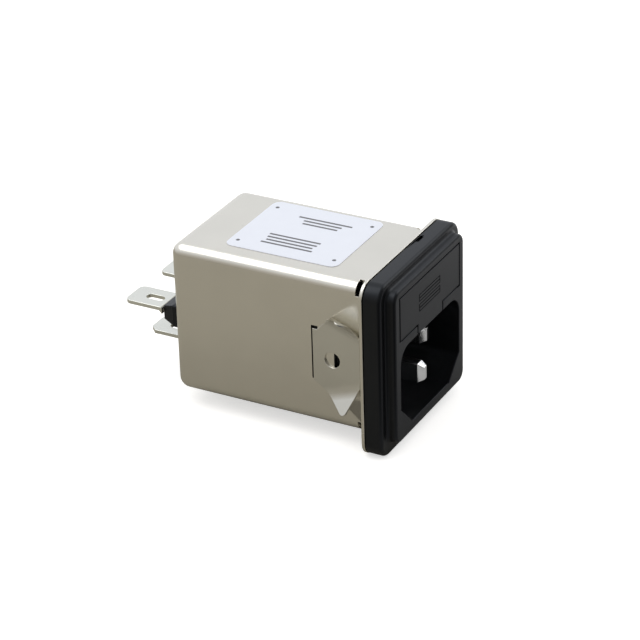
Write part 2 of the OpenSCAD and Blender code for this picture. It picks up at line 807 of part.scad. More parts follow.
// Grommet in the back wall: base and tapered nose outside, collar inside, with a way through for the blade
module bushing(x) {
    root_w = bush_w - 2 * bush_step;
    root_h = bush_h - 2 * bush_step;
    color(black) upright() translate([x, blade_root, can_back]) difference() {
        union() {
            translate([0, 0, -bush_base])
                linear_extrude(bush_base) rounded_rect(bush_w, bush_h, 2 * bush_step);
            translate([0, 0, -bush_base]) mirror([0, 0, 1]) intersection() {
                linear_extrude(bush_nose) rounded_rect(root_w, root_h, bush_step);
                rotate([90, 0, 0]) linear_extrude(root_h, center = true) nose_taper(root_w);
                rotate([90, 0, 90]) linear_extrude(root_w, center = true) nose_taper(root_h);
            }
            linear_extrude(sheet_t) rounded_rect(bush_neck_w, bush_neck_h, bush_step);
            translate([0, 0, sheet_t]) linear_extrude(bush_collar_t) rounded_rect(root_w, root_h, bush_step);
        }
        translate([0, 0, -blade_len]) rotate([0, -90, 0])
            linear_extrude(blade_neck_w + 2 * seat_fit, center = true) blade_side(blade_t + 2 * seat_fit);
    }
}

module nose_taper(w) {
    polygon([[-w / 2, 0], [w / 2, 0], [w / 2 - bush_taper, bush_nose], [bush_taper - w / 2, bush_nose]]);
}

module earth_rivet() {
    color(tin) upright() translate([0, rivet_mid, can_back]) {
        cylinder(d = rivet_d, h = sheet_t + blade_t);
        translate([0, 0, sheet_t + blade_t]) cylinder(d = rivet_head_d, h = rivet_head_t / 2);
        intersection() {
            dome = (pow(rivet_head_d / 2, 2) + pow(rivet_head_t, 2)) / (2 * rivet_head_t);
            translate([0, 0, dome - rivet_head_t]) sphere(dome);
            translate([0, 0, -rivet_head_t]) cylinder(d = rivet_head_d, h = rivet_head_t);
        }
    }
}

module label() {
    color("#e6ebf2") upright()
        translate([label_shift, can_top, -label_front - label_len / 2])
            rotate([-90, 0, 0]) linear_extrude(label_t) rounded_rect(label_w, label_len, label_r);
}

module filter_board() {
    color("#8a7a3c") upright() translate([-board_w / 2, board_low, board_back])
        cube([board_w, board_t, board_front - board_back]);
}

// Stands a choke piece on the board, with its own axis along z
module at_choke(height) {
    upright() translate([0, height, choke_at]) rotate([-90, 0, 0]) children();
}

module choke_base() {
    fin = core_bore / 2 - coil_wire - 2 * coil_gap;
    color("#d8d2c0") at_choke(board_top) {
        cylinder(d = choke_base_d, h = choke_base_t);
        translate([-fin, -choke_base_t / 2, 0]) cube([2 * fin, choke_base_t, choke_base_t + 2 * coil_half_h]);
    }
}

module choke_core() {
    edge = coil_wire / 2;
    color("#3b5a3e") at_choke(choke_mid) rotate_extrude()
        polygon([
            [core_bore / 2, edge - core_h / 2], [core_bore / 2 + edge, -core_h / 2],
            [core_d / 2 - edge, -core_h / 2], [core_d / 2, edge - core_h / 2],
            [core_d / 2, core_h / 2 - edge], [core_d / 2 - edge, core_h / 2],
            [core_bore / 2 + edge, core_h / 2], [core_bore / 2, core_h / 2 - edge]
        ]);
}

// One turn of the winding, walked through eight corner points round the core's section
function turn_point(k) =
    let (corner = coil_wire, a = coil_half_r, b = coil_half_h)
    [[a, b - corner], [a - corner, b], [corner - a, b], [-a, b - corner],
     [-a, corner - b], [corner - a, -b], [a - corner, -b], [a, corner - b]][k % 8];

function turn_normal(k) = let (to = (k % 8 + 1 / 2) * 45) [cos(to), sin(to)];

module winding(start) {
    sides = 6;
    steps = 8 * coil_turns;
    sweep = 140;
    points = [
        for (k = [0 : steps]) let (turn = start + sweep * k / steps, at = turn_point(k), out = turn_normal(k))
            for (side = [0 : sides - 1]) let (
                lift = coil_wire / 2 * cos(360 * side / sides),
                slip = coil_wire / 2 * sin(360 * side / sides),
                r = coil_ring + at[0] + lift * out[0]
            ) [r * cos(turn) - slip * sin(turn), r * sin(turn) + slip * cos(turn), at[1] + lift * out[1]]
    ];
    walls = [
        for (k = [0 : steps - 1], side = [0 : sides - 1]) let (next = (side + 1) % sides)
            [k * sides + side, k * sides + next, (k + 1) * sides + next, (k + 1) * sides + side]
    ];
    ends = [[for (side = [sides - 1 : -1 : 0]) side], [for (side = [0 : sides - 1]) steps * sides + side]];
    color(copper) at_choke(choke_mid) polyhedron(points, concat(walls, ends));
}

module x_capacitor() {
    color("#d8b23a") upright()
        translate([0, board_low, board_front - x_cap_at - x_cap_t / 2]) rotate([90, 0, 0])
            linear_extrude(x_cap_h) rounded_rect(x_cap_w, x_cap_t, lead_d);
}

// Disc capacitor that hangs under the board by its two leads
module y_capacitor(side) {
    lead_gap = y_cap_d / 4;
    stand = lead_d;
    back = board_front - x_cap_at - x_cap_t - y_cap_t;
    color("#3a66a8") upright()
        translate([side * y_cap_at, board_low - stand - y_cap_d / 2, back]) {
            cylinder(d = y_cap_d, h = y_cap_t, center = true);
            for (sx = [-1, 1])
                translate([sx * lead_gap, 0, 0])
                    rotate([-90, 0, 0]) cylinder(d = lead_d, h = stand + y_cap_d / 2);
        }
}

module bleed_resistor() {
    drop = resistor_d / 2 + seat_fit;
    half = resistor_span / 2;
    color("#c8a878") upright()
        translate([0, board_low - drop, board_back + resistor_back]) {
            rotate([0, 90, 0]) cylinder(d = resistor_d, h = resistor_len, center = true);
            wire([[-half, drop, 0], [-half, 0, 0], [half, 0, 0], [half, drop, 0]], lead_d);
        }
}

// Wire from a pin's tail up to the contact of the front fuse
module pin_link(side) {
    back = housing_back - wire_d;
    run = rail_in - wire_d;
    high = fuse_mid + (contact_split + contact_h) / 2;
    from = pin_pitch / 2 + pin_tail_w / 2 + seat_fit;
    color("#7a3b1e") upright() mirror([side > 0 ? 0 : 1, 0, 0])
        wire([
            [from, line_pin_mid, back], [run, line_pin_mid, back],
            [run, high, back], [contact_in - seat_fit, high, back]
        ], wire_d);
}

// Wire from the contact of the rear fuse down to the board
module board_lead(side) {
    back = contact_tail + wire_d;
    run = rail_in - wire_d;
    high = fuse_mid - (contact_split + contact_h) / 2;
    land = board_front - rail_grip;
    color("#2f5fa8") upright() mirror([side > 0 ? 0 : 1, 0, 0])
        wire([
            [contact_in - seat_fit, high, back], [run, high, back],
            [run, high, land], [run, board_top + seat_fit, land]
        ], wire_d);
}

// Bent strap from the earth pin's tail down to the can's floor
module earth_strap() {
    top = earth_pin_mid + pin_tail_h / 2 + earth_strap_t * 2;
    low = can_floor + seat_fit;
    back = socket_back - seat_fit - earth_strap_t;
    color(tin) upright() {
        difference() {
            translate([-earth_strap_w / 2, low, back]) cube([earth_strap_w, top - low, earth_strap_t]);
            translate([0, earth_pin_mid, back])
                cube([pin_tail_w + 2 * seat_fit, pin_tail_h + 2 * seat_fit, 2 * cut_over], center = true);
        }
        translate([-earth_strap_w / 2, low, back - earth_strap_foot])
            cube([earth_strap_w, earth_strap_t, earth_strap_foot + earth_strap_t]);
    }
}

filter_can();
inlet_housing();
fuse_drawer();
fuse_tube(front_fuse_at);  // front_fuse_tube
fuse_cap(front_fuse_at, -1);  // front_fuse_left_cap
fuse_cap(front_fuse_at, 1);  // front_fuse_right_cap
fuse_wire(front_fuse_at);  // front_fuse_wire
fuse_tube(rear_fuse_at);  // rear_fuse_tube
fuse_cap(rear_fuse_at, -1);  // rear_fuse_left_cap
fuse_cap(rear_fuse_at, 1);  // rear_fuse_right_cap
fuse_wire(rear_fuse_at);  // rear_fuse_wire
earth_pin();
inlet_pin(pin_pitch / 2, line_pin_mid, front - line_tip);  // line_pin
inlet_pin(-pin_pitch / 2, line_pin_mid, front - line_tip);  // neutral_pin
fuse_contact(1, front_fuse_at, 1);  // line_in_contact
fuse_contact(1, rear_fuse_at, -1);  // line_out_contact
fuse_contact(-1, front_fuse_at, 1);  // neutral_in_contact
fuse_contact(-1, rear_fuse_at, -1);  // neutral_out_contact
left_snap_spring();
right_snap_spring();
power_tab(blade_pitch / 2);  // line_tab
power_tab(-blade_pitch / 2);  // neutral_tab
earth_tab();
bushing(blade_pitch / 2);  // line_bushing
bushing(-blade_pitch / 2);  // neutral_bushing
earth_rivet();
label();
filter_board();
choke_base();
choke_core();
winding(-70);  // line_winding
winding(110);  // neutral_winding
x_capacitor();
y_capacitor(1);  // line_y_capacitor
y_capacitor(-1);  // neutral_y_capacitor
bleed_resistor();
pin_link(1);  // line_link
pin_link(-1);  // neutral_link
board_lead(1);  // line_lead
board_lead(-1);  // neutral_lead
earth_strap();
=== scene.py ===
"""Looks of a snap-in power entry module: finishes, rounded edges, print, and a plain studio stage.

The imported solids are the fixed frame. Lengths are metres, and MM turns millimetres into metres.
"""
import json
import math

import bmesh
import bpy
from bpy.props import FloatProperty, FloatVectorProperty, IntProperty, PointerProperty
from mathutils import Matrix, Vector

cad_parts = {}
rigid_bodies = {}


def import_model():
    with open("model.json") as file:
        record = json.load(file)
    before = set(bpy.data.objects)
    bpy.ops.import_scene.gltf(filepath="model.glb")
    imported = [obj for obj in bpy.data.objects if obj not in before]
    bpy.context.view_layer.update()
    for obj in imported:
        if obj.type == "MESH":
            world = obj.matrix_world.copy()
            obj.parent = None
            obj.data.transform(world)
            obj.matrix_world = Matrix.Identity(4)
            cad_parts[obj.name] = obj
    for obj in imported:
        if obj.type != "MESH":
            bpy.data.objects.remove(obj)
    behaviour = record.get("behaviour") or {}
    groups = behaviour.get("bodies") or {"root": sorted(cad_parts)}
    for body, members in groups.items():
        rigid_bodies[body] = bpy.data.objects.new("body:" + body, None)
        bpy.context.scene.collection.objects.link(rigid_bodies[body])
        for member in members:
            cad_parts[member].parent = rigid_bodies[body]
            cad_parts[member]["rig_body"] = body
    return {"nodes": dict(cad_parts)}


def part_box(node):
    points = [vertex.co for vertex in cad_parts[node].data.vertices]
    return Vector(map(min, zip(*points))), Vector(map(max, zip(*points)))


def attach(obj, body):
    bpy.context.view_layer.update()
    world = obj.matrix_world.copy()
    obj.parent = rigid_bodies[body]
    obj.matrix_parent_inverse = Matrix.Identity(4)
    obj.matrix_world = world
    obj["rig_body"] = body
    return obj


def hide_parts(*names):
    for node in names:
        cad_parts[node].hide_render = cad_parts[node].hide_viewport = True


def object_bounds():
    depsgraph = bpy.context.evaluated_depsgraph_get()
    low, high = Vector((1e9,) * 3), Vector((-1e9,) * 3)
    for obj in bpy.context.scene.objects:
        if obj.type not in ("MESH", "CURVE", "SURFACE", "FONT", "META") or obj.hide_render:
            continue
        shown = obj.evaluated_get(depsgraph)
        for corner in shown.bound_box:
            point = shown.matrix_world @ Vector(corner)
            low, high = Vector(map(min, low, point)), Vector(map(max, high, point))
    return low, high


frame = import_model()

bl_info = {
    "name": "Power Entry Module Looks",
    "version": (1, 0, 0),
    "blender": (4, 5, 0),
    "location": "3D View > Sidebar > Power module",
    "description": "Finishes, rounded edges, print and a studio stage for a snap-in power entry module",
    "category": "Object",
}

MM = 0.001
CAD_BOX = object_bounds()
# marks the rounded edges, which the finishes make smoother and paint lighter as a highlight
EDGE = "rubbed_and_highlit_edge"
MERGE = 0.001 * MM  # points this close are one point
NEAR = 10 * MERGE  # points this close to a plane lie on it
FLAT = math.radians(0.6)  # faces that meet below this bend are one face
SHARP = math.radians(32)  # edges that bend more than this are rounded
FACETED = math.radians(15)  # the same for pins, whose ends have shallow slopes
ROUND_STEPS = 2
WHITE = (1.0, 1.0, 1.0, 1.0)
COOL = (0.86, 0.92, 1.0, 1.0)


class Value:
    """An output socket that takes part in arithmetic: each sum or product adds a Math node."""

    def __init__(self, graph, socket):
        self.graph = graph
        self.socket = socket

    def output(self, name):
        return Value(self.graph, self.socket.node.outputs[name])

    def __add__(self, other):
        return self.graph.math("ADD", self, other)

    def __radd__(self, other):
        return self.graph.math("ADD", other, self)

    def __sub__(self, other):
        return self.graph.math("SUBTRACT", self, other)

    def __mul__(self, other):
        return self.graph.math("MULTIPLY", self, other)

    def __rmul__(self, other):
        return self.graph.math("MULTIPLY", other, self)

    def __truediv__(self, other):
        return self.graph.math("DIVIDE", self, other)

    def __pow__(self, other):
        return self.graph.math("POWER", self, other)

    def __lt__(self, other):
        return self.graph.math("LESS_THAN", self, other)

    def __abs__(self):
        return self.graph.math("ABSOLUTE", self)


class Graph:
    """A node tree that is written as calls and arithmetic."""

    def __init__(self, tree):
        self.tree = tree

    def feed(self, socket, value):
        if isinstance(value, Value):
            self.tree.links.new(value.socket, socket)
        else:
            socket.default_value = value

    def node(self, kind, settings=None, inputs=None, output=0):
        made = self.tree.nodes.new(kind)
        for key, value in (settings or {}).items():
            setattr(made, key, value)
        for key, value in (inputs or {}).items():
            self.feed(made.inputs[key], value)
        return Value(self, made.outputs[output])

    def math(self, operation, first, second=0.0):
        return self.node("ShaderNodeMath", {"operation": operation}, {0: first, 1: second})

    def vector(self, x=0.0, y=0.0, z=0.0):
        return self.node("ShaderNodeCombineXYZ", inputs={0: x, 1: y, 2: z})

    def fade(self, value, start, end):
        """Nought at the start, one at the end, with a soft step between them."""
        inputs = {"Value": value, "From Min": start, "From Max": end}
        return self.node("ShaderNodeMapRange", {"interpolation_type": "SMOOTHSTEP"}, inputs)

    def tint(self, share, first, second):
        """A colour between two others."""
        inputs = {0: share, 6: first, 7: second}
        return self.node("ShaderNodeMix", {"data_type": "RGBA"}, inputs, output=2)

    def mix(self, share, first, second):
        """A shader between two others."""
        return self.node("ShaderNodeMixShader", inputs={0: share, 1: first, 2: second})

    def show(self, kind, shader):
        """Makes a shader the surface of the world or of a material."""
        leave = self.tree.nodes.new(kind)
        self.tree.links.new(shader.socket, leave.inputs["Surface"])


class Finish(Graph):
    """A material on one Principled shader, with patterns in Object coordinates."""

    def __init__(self, name):
        self.material = bpy.data.materials.new(name)
        self.material.use_nodes = True
        super().__init__(self.material.node_tree)
        self.shader = self.tree.nodes["Principled BSDF"]
        self.place = self.node("ShaderNodeTexCoord", output="Object")
        self.edge = self.node("ShaderNodeAttribute", {"attribute_name": EDGE}, output="Fac")

    def use(self, name, value):
        self.feed(self.shader.inputs[name], value)

    def axis(self, name):
        return self.node("ShaderNodeSeparateXYZ", inputs={0: self.place}, output=name)

    def noise(self, scale, detail=2.0, stretch=None):
        place = self.place
        if stretch:
            place = self.node("ShaderNodeMapping", inputs={"Vector": place, "Scale": stretch})
        inputs = {"Vector": place, "Scale": scale, "Detail": detail}
        return self.node("ShaderNodeTexNoise", inputs=inputs)

    def cells(self, scale):
        inputs = {"Vector": self.place, "Scale": scale}
        return self.node("ShaderNodeTexVoronoi", inputs=inputs, output="Distance")

    def bump(self, height, strength, distance):
        inputs = {"Height": height, "Strength": strength, "Distance": distance}
        self.use("Normal", self.node("ShaderNodeBump", inputs=inputs))


class Shape(Graph):
    """A geometry tree with named sizes, whose result becomes a plain mesh."""

    KINDS = {float: "NodeSocketFloat", int: "NodeSocketInt", Vector: "NodeSocketVector"}

    def __init__(self, name, **sizes):
        super().__init__(bpy.data.node_groups.new(name, "GeometryNodeTree"))
        self.identifiers = {}
        for label, kind in sizes.items():
            socket = self.tree.interface.new_socket(label, in_out="INPUT", socket_type=self.KINDS[kind])
            self.identifiers[label] = socket.identifier
        self.tree.interface.new_socket("Geometry", in_out="OUTPUT", socket_type="NodeSocketGeometry")
        self.entry = self.tree.nodes.new("NodeGroupInput")

    def size(self, label):
        return Value(self, self.entry.outputs[label])

    def join(self, *parts):
        joined = self.node("GeometryNodeJoinGeometry")
        for part in parts:
            self.tree.links.new(part.socket, joined.socket.node.inputs[0])
        return joined

    def tube(self, curve, thickness, sides, caps=False):
        """A round rod along a curve."""
        circle = {"Resolution": sides, "Radius": thickness / 2}
        section = self.node("GeometryNodeCurvePrimitiveCircle", inputs=circle)
        inputs = {"Curve": curve, "Profile Curve": section, "Fill Caps": caps}
        return self.node("GeometryNodeCurveToMesh", inputs=inputs)

    def close(self, geometry, material, turn=(0.0, 0.0, 0.0)):
        """Turns the result, moves it to its place, makes it real and gives it a finish."""
        inputs = {"Geometry": geometry, "Translation": self.size("Place"), "Rotation": turn}
        placed = self.node("GeometryNodeTransform", inputs=inputs)
        real = self.node("GeometryNodeRealizeInstances", inputs={"Geometry": placed})
        painted = self.node("GeometryNodeSetMaterial", inputs={"Geometry": real, "Material": material})
        leave = self.tree.nodes.new("NodeGroupOutput")
        self.tree.links.new(painted.socket, leave.inputs["Geometry"])

    def piece(self, name, **values):
        """Runs the tree with these sizes and keeps what it makes as a mesh."""
        carrier = new_object(name, bpy.data.meshes.new(name))
        modifier = carrier.modifiers.new(name, "NODES")
        modifier.node_group = self.tree
        for label, value in values.items():
            modifier[self.identifiers[label]] = value
        return baked(carrier)


def new_object(name, data):
    made = bpy.data.objects.new(name, data)
    bpy.context.scene.collection.objects.link(made)
    return made


def baked(carrier):
    """Turns an object's modifiers into its mesh."""
    bpy.context.view_layer.update()
    mesh = bpy.data.meshes.new_from_object(carrier.evaluated_get(bpy.context.evaluated_depsgraph_get()))
    carrier.modifiers.clear()
    carrier.data = mesh
    if not mesh.polygons:
        raise RuntimeError(f"{carrier.name} came out empty")
    return carrier


def part_at(made, point, normal):
    """Parts a mesh's faces along a plane and gives the new edges and points."""
    whole = [*made.verts, *made.edges, *made.faces]
    return bmesh.ops.bisect_plane(
        made, geom=whole, plane_co=point, plane_no=normal, dist=MERGE / 10)["geom_cut"]


def round_edges(made, edges, width, steps=ROUND_STEPS):
    """Rounds some of a mesh's edges and gives the new faces."""
    return bmesh.ops.bevel(
        made, geom=edges, offset=width, offset_type="OFFSET", segments=steps, profile=0.5,
        affect="EDGES")["faces"]


def skin(node, width, cuts=(), sharp=SHARP, form=None):
    """Copies a solid's mesh, joins its triangles into faces, rounds its outer edges and marks the rounds.

    The cuts are planes, given as an axis and a place, that part a face with holes into faces without.
    The form is a function that changes the shape before its edges are rounded.
    """
    made = bmesh.new()
    made.from_mesh(frame["nodes"][node].data)
    bmesh.ops.remove_doubles(made, verts=made.verts, dist=MERGE)
    for axis, place in cuts:
        along = Vector([float(axis == letter) for letter in "XYZ"])
        for part in part_at(made, along * place, along):
            if isinstance(part, bmesh.types.BMEdge):
                part.seam = True
    bmesh.ops.dissolve_limit(made, angle_limit=FLAT, verts=made.verts, edges=made.edges, delimit={"SEAM"})
    if form:
        form(made)
    mark = made.faces.layers.float.new(EDGE)
    outer = [edge for edge in made.edges if edge.is_convex and edge.calc_face_angle(0.0) > sharp]
    for face in round_edges(made, outer, width):
        face[mark] = 1.0
    for face in made.faces:
        face.smooth = True
    mesh = bpy.data.meshes.new(f"{node}_skin")
    made.to_mesh(mesh)
    made.free()
    carrier = new_object(f"{node}_skin", mesh)
    carrier.modifiers.new("even_light", "WEIGHTED_NORMAL")
    return baked(carrier)


def middle(node):
    low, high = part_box(node)
    return (low + high) / 2


def body_of(node):
    return frame["nodes"][node]["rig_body"]


def settle(piece, node, material=None):
    """Gives a piece its finish, and has it ride with a solid."""
    if material:
        piece.data.materials.clear()
        piece.data.materials.append(material)
    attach(piece, body_of(node))
    return piece


def dress(node, material, width, cuts=(), sharp=SHARP, form=None):
    """Shows a solid as its own skin with rounded edges."""
    piece = settle(skin(node, width, cuts, sharp, form), node, material)
    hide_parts(node)


def paint(node, material):
    """Gives a solid a finish and leaves its mesh as it is."""
    materials = frame["nodes"][node].data.materials
    materials.clear()
    materials.append(material)


def shade(colour, share=1.0):
    """A colour made lighter or darker, with full alpha."""
    return (*(min(1.0, channel * share) for channel in colour), 1.0)


def swing(pattern, amount):
    """A pattern between nought and one as a change of half the amount up and down."""
    return amount * (pattern - 0.5)


def satin_plate(name, colour, drawn, roughness):
    """Plated sheet: clouds, lines along the way it was drawn, dull specks, and rubbed edges with a
    painted highlight.
    """
    finish = Finish(name)
    cloud = finish.noise(scale=110, detail=4)
    line = finish.noise(scale=1500, detail=3, stretch=drawn)
    peel = finish.noise(scale=2600)
    wave = finish.noise(scale=60, detail=1)
    speck = finish.fade(finish.cells(scale=240), start=0.05, end=0.025)
    tone = finish.tint(cloud, shade(colour, 0.94), shade(colour, 1.06))
    # painted highlight: the rounded edges are made lighter in colour
    tone = finish.tint(0.35 * finish.edge, tone, shade(colour, 1.25))
    finish.use("Base Color", finish.tint(0.35 * speck, tone, shade(colour, 0.45)))
    finish.use("Metallic", 1.0)
    finish.use("Roughness", roughness + swing(cloud, 0.10) + swing(line, 0.16) - 0.04 * finish.edge)
    finish.bump(0.5 * line + 0.5 * peel + 20 * wave, strength=0.12, distance=0.01 * MM)
    return finish.material


def moulded_plastic(name, colour, roughness, shine=0.31):
    """Black moulding with a spark-eroded grain, a faint flow mottle, edges rubbed smooth and a painted
    highlight on them.
    """
    finish = Finish(name)
    grain = finish.noise(scale=6500)
    flow = finish.noise(scale=70, detail=3)
    rubbed = finish.noise(scale=900, detail=3, stretch=(1.0, 0.25, 1.0))
    scuff = finish.fade(rubbed, start=0.62, end=0.80)
    tone = finish.tint(flow, shade(colour, 0.85), shade(colour, 1.15))
    # painted highlight: the rounded edges are made much lighter in colour
    tone = finish.tint(0.6 * finish.edge, tone, shade(colour, 2.2))
    finish.use("Base Color", finish.tint(0.2 * scuff, tone, shade(colour, 2.5)))
    finish.use("Roughness", roughness + swing(flow, 0.10) + swing(grain, 0.10) - 0.06 * finish.edge)
    finish.use("Specular IOR Level", shine)
    finish.use("Specular Tint", COOL)
    finish.bump(grain, strength=0.25, distance=0.02 * MM)
    return finish.material


def label_film(name, colour):
    """Coated film: a faint mottle in the coat and a very fine grain."""
    finish = Finish(name)
    coat = finish.noise(scale=420, detail=3)
    grain = finish.noise(scale=7000)
    finish.use("Base Color", finish.tint(coat, shade(colour, 0.975), shade(colour, 1.015)))
    finish.use("Roughness", 0.42 + swing(coat, 0.12))
    finish.bump(grain, strength=0.06, distance=0.01 * MM)
    return finish.material


def printed_ink(name, colour):
    """Thermal print: slightly uneven grey with a dull surface."""
    finish = Finish(name)
    wear = finish.noise(scale=2400, detail=3)
    finish.use("Base Color", finish.tint(wear, shade(colour, 0.75), shade(colour, 1.35)))
    finish.use("Roughness", 0.55 + swing(wear, 0.2))
    return finish.material


def clear_glass(name, colour, dusty):
    """Drawn glass tube with a trace of dust."""
    finish = Finish(name)
    dust = finish.fade(finish.noise(scale=1300, detail=4), start=0.45, end=0.75)
    finish.use("Base Color", finish.tint(dust, shade(colour), shade(dusty)))
    finish.use("Roughness", 0.02 + 0.10 * dust)
    finish.use("Transmission Weight", 1.0)
    finish.use("IOR", 1.5)
    return finish.material


def plain_resin(name, colour, roughness, spots, grain):
    """Resin, lacquer or ceramic: a cloudy colour with fine spots and a low bump."""
    finish = Finish(name)
    cloud = finish.noise(scale=260, detail=3)
    fine = finish.noise(scale=grain)
    spot = finish.fade(fine, start=0.55, end=0.75)
    tone = finish.tint(cloud, shade(colour, 0.85), shade(colour, 1.12))
    finish.use("Base Color", finish.tint(spots * spot, tone, shade(colour, 0.5)))
    finish.use("Roughness", roughness + swing(cloud, 0.15) - 0.05 * finish.edge)
    finish.bump(fine, strength=0.15, distance=0.02 * MM)
    return finish.material


def banded_resistor(name, colour, bands, middle, pitch, width):
    """Lacquered resistor body with painted rings across it, and bare ends."""
    finish = Finish(name)
    along = finish.axis("X") - middle
    cloud = finish.noise(scale=500, detail=3)
    tone = finish.tint(cloud, shade(colour, 0.9), shade(colour, 1.1))
    for count, band in enumerate(bands):
        offset = (count - (len(bands) - 1) / 2) * pitch
        tone = finish.tint(abs(along - offset) < width / 2, tone, shade(band))
    finish.use("Base Color", tone)
    finish.use("Roughness", 0.32 + swing(cloud, 0.15))
    return finish.material


def measure(name, description, values, unit):
    """A property that holds one number or several."""
    facts = {"name": name, "description": description, "unit": unit}
    if len(values) == 1:
        return FloatProperty(default=values[0], **facts)
    return FloatVectorProperty(default=values, size=len(values), **facts)


def length_property(name, description, *millimetres):
    return measure(name, description, [value * MM for value in millimetres], "LENGTH")


def angle_property(name, description, *degrees):
    return measure(name, description, [math.radians(value) for value in degrees], "ROTATION")


def colour_property(name, description, default):
    return FloatVectorProperty(
        name=name, description=description, default=default, size=3, min=0.0, max=1.0, subtype="COLOR")


class ModuleSizes(bpy.types.PropertyGroup):
    """Sizes of the details that the solids leave to the looks."""

    moulded_edge: length_property("Moulded edge", "Round on the edges of the black mouldings", 0.16)
    sheet_edge: length_property("Sheet edge", "Round on the edges of the can and the springs", 0.08)
    blade_edge: length_property("Blade edge", "Round on the edges of the pins and the blades", 0.10)
    small_edge: length_property("Small edge", "Round on the edges of the fuses and filter parts", 0.06)
    label_edge: length_property("Label edge", "Round on the label's edges", 0.02)

    bezel_back: length_property("Bezel's back edge", "Round on the bezel at the can's rim", 0.35)
    bezel_corner: length_property("Bezel corner", "Corner radius of the bezel", 3.1)
    bezel_front: length_property(
        "Bezel's front edge", "Round on the bezel's front edge, on the solid and in the looks", 0.5, 0.75)
    field_height: length_property("Field height", "Height of the raised field on the bezel", 1.9)
    field_corner: length_property("Field corner", "Corner radius of the raised field", 2.0)
    field_span: length_property(
        "Field span", "Half of the field's width, its lower edge and its upper edge", 14.2, -14.75, 15.85)
    field_foot: length_property(
        "Field's foot", "Hollow round at the field's foot, on the solid and in the looks", 0.9, 0.65)

    spring_sheet: length_property("Spring sheet", "Thickness of the springs", 0.4)
    fold_out: length_property(
        "Fold out", "From the module's middle to the middle of a spring's sheet", 13.65)
    fold_back: length_property(
        "Fold's back end", "Place behind the panel face and half of the height there", 8.0, 7.2)
    fold_front: length_property(
        "Fold's front end", "Place behind the panel face and half of the height there", 1.35, 4.9)
    fold_bend: angle_property("Fold bend", "Bend of the solid's flat wings", 46)
    curl_lead: length_property(
        "Curl lead", "Start of the curl before the fold, on the upper and the lower wing", 0.9, 1.2)
    curl_run: length_property(
        "Curl run", "End of the curl past the fold, on the upper and the lower wing", 4.4, 1.8)
    curl_bend: angle_property(
        "Curl bend", "Bend at the end of the curl, on the upper and the lower wing", 80, 34)

    ink_height: length_property("Ink height", "How far the print stands on the label", 0.012)
    dot_radius: length_property("Dot radius", "Radius of the dots in the label's corners", 0.38)
    dot_inset: length_property(
        "Dot inset", "From the label's edges to the dots, across and along the can", 2.5, 1.6)
    rule_width: length_property("Rule width", "Width of a printed rule on the label", 0.5)
    rule_pitch: length_property("Rule pitch", "Distance between printed rules", 1.15)
    rule_long: length_property("Longest rule", "Length of the longest printed rule", 11)
    rule_short: length_property("Shortest rule", "Length of the shortest printed rule", 6)
    rules_near: length_property("Near rules", "Near block's place from the label's middle", -6.2, 0.6)
    rules_far: length_property("Far rules", "Far block's place from the label's middle", 3.4, -1.2)

    mark_size: length_property("Fuse mark", "Width and height of one fuse in the mark", 8.4, 1.3)
    mark_pitch: length_property("Fuse mark pitch", "Distance between the two fuses in the mark", 1.95)
    mark_line: length_property("Mark line", "Thickness of the mark's lines", 0.22)
    mark_at: length_property(
        "Mark place", "Middle of the mark from the middle of the drawer's top edge", -0.25, -4.3)

    core_ring: length_property("Core ring", "Radius of the choke core at the middle of its section", 5.5)
    core_half: length_property("Core half", "Half of the core's thickness from bore to outside", 1.5)
    coil_turns: IntProperty(name="Turns", description="Turns in each winding", default=7, min=1)
    coil_wire: length_property("Winding wire", "Diameter of the winding wire", 0.9)
    coil_gap: length_property("Winding gap", "Air between the core and the wire", 0.15)
    coil_sweep: angle_property("Winding sweep", "Part of the ring that a winding takes up", 140)
    band_width: length_property("Band width", "Width of a painted ring on the resistor", 0.7)
    band_pitch: length_property("Band pitch", "Distance between the rings on the resistor", 1.5)


class ModuleColours(bpy.types.PropertyGroup):
    """Base colours of the finishes."""

    can: colour_property("Can", "Satin nickel on the can", (0.742, 0.711, 0.635))
    spring: colour_property("Springs", "Satin nickel on the snap springs", (0.675, 0.66, 0.60))
    plastic: colour_property("Black plastic", "Housing, drawer and bushings", (0.0020, 0.0020, 0.0024))
    pin: colour_property("Bright tin", "Pins of the inlet", (0.98, 0.975, 0.96))
    tin: colour_property("Tin plate", "Blades, rivet and strap", (0.76, 0.757, 0.69))
    label: colour_property("Label", "Film of the label", (0.745, 0.772, 0.845))
    ink: colour_property("Ink", "Print on the label", (0.13, 0.13, 0.14))
    glass: colour_property("Fuse glass", "Tube of the fuses", (0.97, 0.99, 0.98))
    dusty_glass: colour_property("Dusty glass", "Tube of the fuses where dust lies", (0.90, 0.92, 0.90))
    cap: colour_property("Fuse caps", "Nickel on the fuses' caps and wires", (0.72, 0.70, 0.66))
    brass: colour_property("Brass", "Fuse contacts", (0.72, 0.54, 0.25))
    copper: colour_property("Enamelled wire", "Windings of the choke", (0.52, 0.17, 0.06))
    board: colour_property("Board", "Filter board", (0.38, 0.27, 0.11))
    choke_plastic: colour_property("Choke base", "Base under the choke", (0.60, 0.56, 0.46))
    ferrite: colour_property("Ferrite", "Lacquered core", (0.06, 0.12, 0.07))
    box_capacitor: colour_property("Box capacitor", "Capacitor from line to neutral", (0.66, 0.44, 0.05))
    disc_capacitor: colour_property("Disc capacitors", "Capacitors to earth", (0.04, 0.15, 0.40))
    resistor: colour_property("Resistor", "Lacquer of the resistor", (0.52, 0.38, 0.22))
    link: colour_property("Pin wires", "Insulation of the wires to the fuses", (0.22, 0.07, 0.03))
    lead: colour_property("Board wires", "Insulation of the wires to the board", (0.03, 0.11, 0.40))


